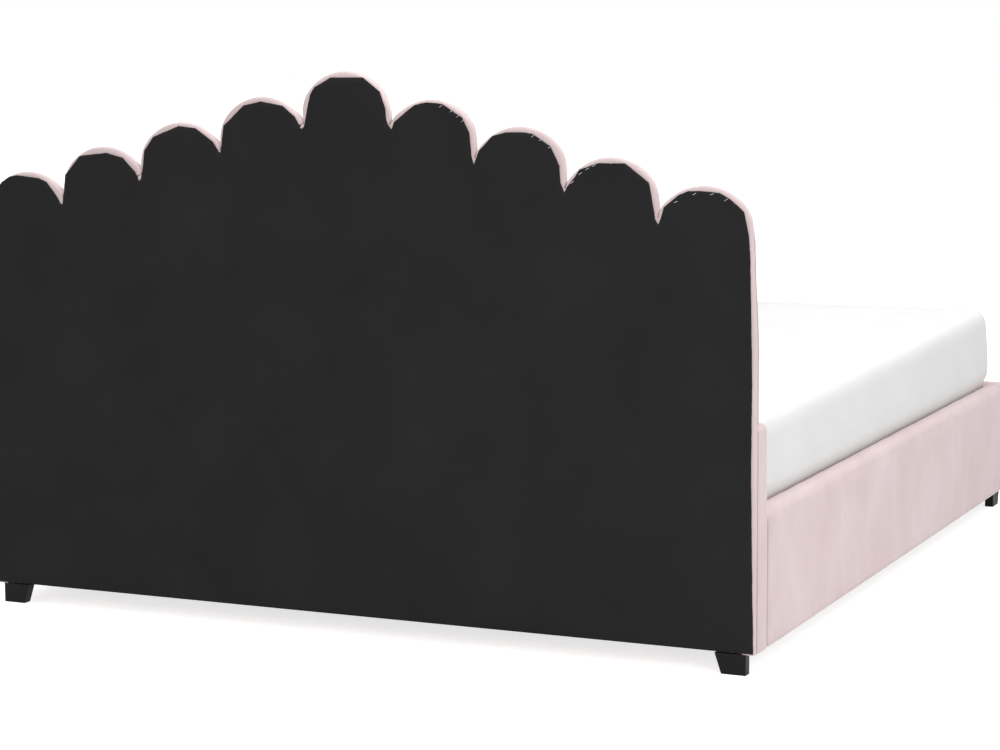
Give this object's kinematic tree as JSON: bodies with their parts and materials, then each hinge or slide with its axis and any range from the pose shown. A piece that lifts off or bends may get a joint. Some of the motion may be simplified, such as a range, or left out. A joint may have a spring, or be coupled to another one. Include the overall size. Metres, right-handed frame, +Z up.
{
  "type": "upholstered headboard bed",
  "caption": "Double bed with a padded headboard that steps up to the middle in round lobes, velvet rails and footboard, sprung slats, centre beam and a mattress.",
  "frame": {"origin": "on the floor under the middle of the bed's overall box", "axes": "+Z up, +Y from the foot end to the headboard, X across the bed"},
  "size_m": [1.9, 2.152, 1.26],
  "materials": {
    "velvet": "matte",
    "dust_cloth": "matte",
    "ticking": "matte",
    "plywood": "matte",
    "softwood": "matte",
    "slat_wood": "satin",
    "leg_black": "satin",
    "painted_steel": "satin",
    "zinc_steel": "satin",
    "cap_plastic": "matte",
    "foot_plastic": "satin"
  },
  "bodies": {
    "frame": {"beam_hanger_foot": "painted_steel", "beam_hanger_head": "painted_steel", "bracket_screws": "zinc_steel", "centre_beam": "painted_steel", "centre_leg_1": "painted_steel", "centre_leg_2": "painted_steel", "centre_leg_3": "painted_steel", "centre_leg_screws": "zinc_steel", "channel_pad_1": "velvet", "channel_pad_2": "velvet", "channel_pad_3": "velvet", "channel_pad_4": "velvet", "channel_pad_5": "velvet", "channel_pad_6": "velvet", "channel_pad_7": "velvet", "channel_pad_8": "velvet", "channel_pad_9": "velvet", "corner_bolts": "zinc_steel", "corner_bracket_foot_left": "painted_steel", "corner_bracket_foot_right": "painted_steel", "corner_bracket_head_left": "painted_steel", "corner_bracket_head_right": "painted_steel", "corner_insert_nuts": "zinc_steel", "foot_leg_left": "leg_black", "foot_leg_right": "leg_black", "footboard_board": "plywood", "footboard_cover": "velvet", "hanger_screws": "zinc_steel", "head_leg_left": "leg_black", "head_leg_right": "leg_black", "headboard_back_cloth": "dust_cloth", "headboard_batten_bottom": "softwood", "headboard_batten_top": "softwood", "headboard_board": "plywood", "headboard_edge_wrap": "velvet", "headboard_front_panel": "plywood", "headboard_lower_cover": "velvet", "headboard_post_centre": "softwood", "headboard_post_left": "softwood", "headboard_post_right": "softwood", "headboard_screws": "zinc_steel", "ledge_screws": "zinc_steel", "leg_screws": "zinc_steel", "rail_board_left": "plywood", "rail_board_right": "plywood", "rail_cover_left": "velvet", "rail_cover_right": "velvet", "slat_caps_centre": "cap_plastic", "slat_caps_left": "cap_plastic", "slat_caps_right": "cap_plastic", "slat_ledge_left": "softwood", "slat_ledge_right": "softwood", "slats_left": "slat_wood", "slats_right": "slat_wood"},
    "mattress": {"mattress": "ticking"},
    "levelling_foot_1": {"levelling_foot_1": "foot_plastic"},
    "levelling_foot_2": {"levelling_foot_2": "foot_plastic"},
    "levelling_foot_3": {"levelling_foot_3": "foot_plastic"}
  },
  "joints": [
    {"name": "mattress_lift", "type": "slide", "parent": "frame", "child": "mattress", "axis": [0, 0, 1], "range_m": [0, 0.5]},
    {"name": "levelling_foot_1_screw", "type": "slide", "parent": "frame", "child": "levelling_foot_1", "axis": [0, 0, 1], "range_m": [-0.01, 0.012]},
    {"name": "levelling_foot_2_screw", "type": "slide", "parent": "frame", "child": "levelling_foot_2", "axis": [0, 0, 1], "range_m": [-0.01, 0.012]},
    {"name": "levelling_foot_3_screw", "type": "slide", "parent": "frame", "child": "levelling_foot_3", "axis": [0, 0, 1], "range_m": [-0.01, 0.012]}
  ]
}
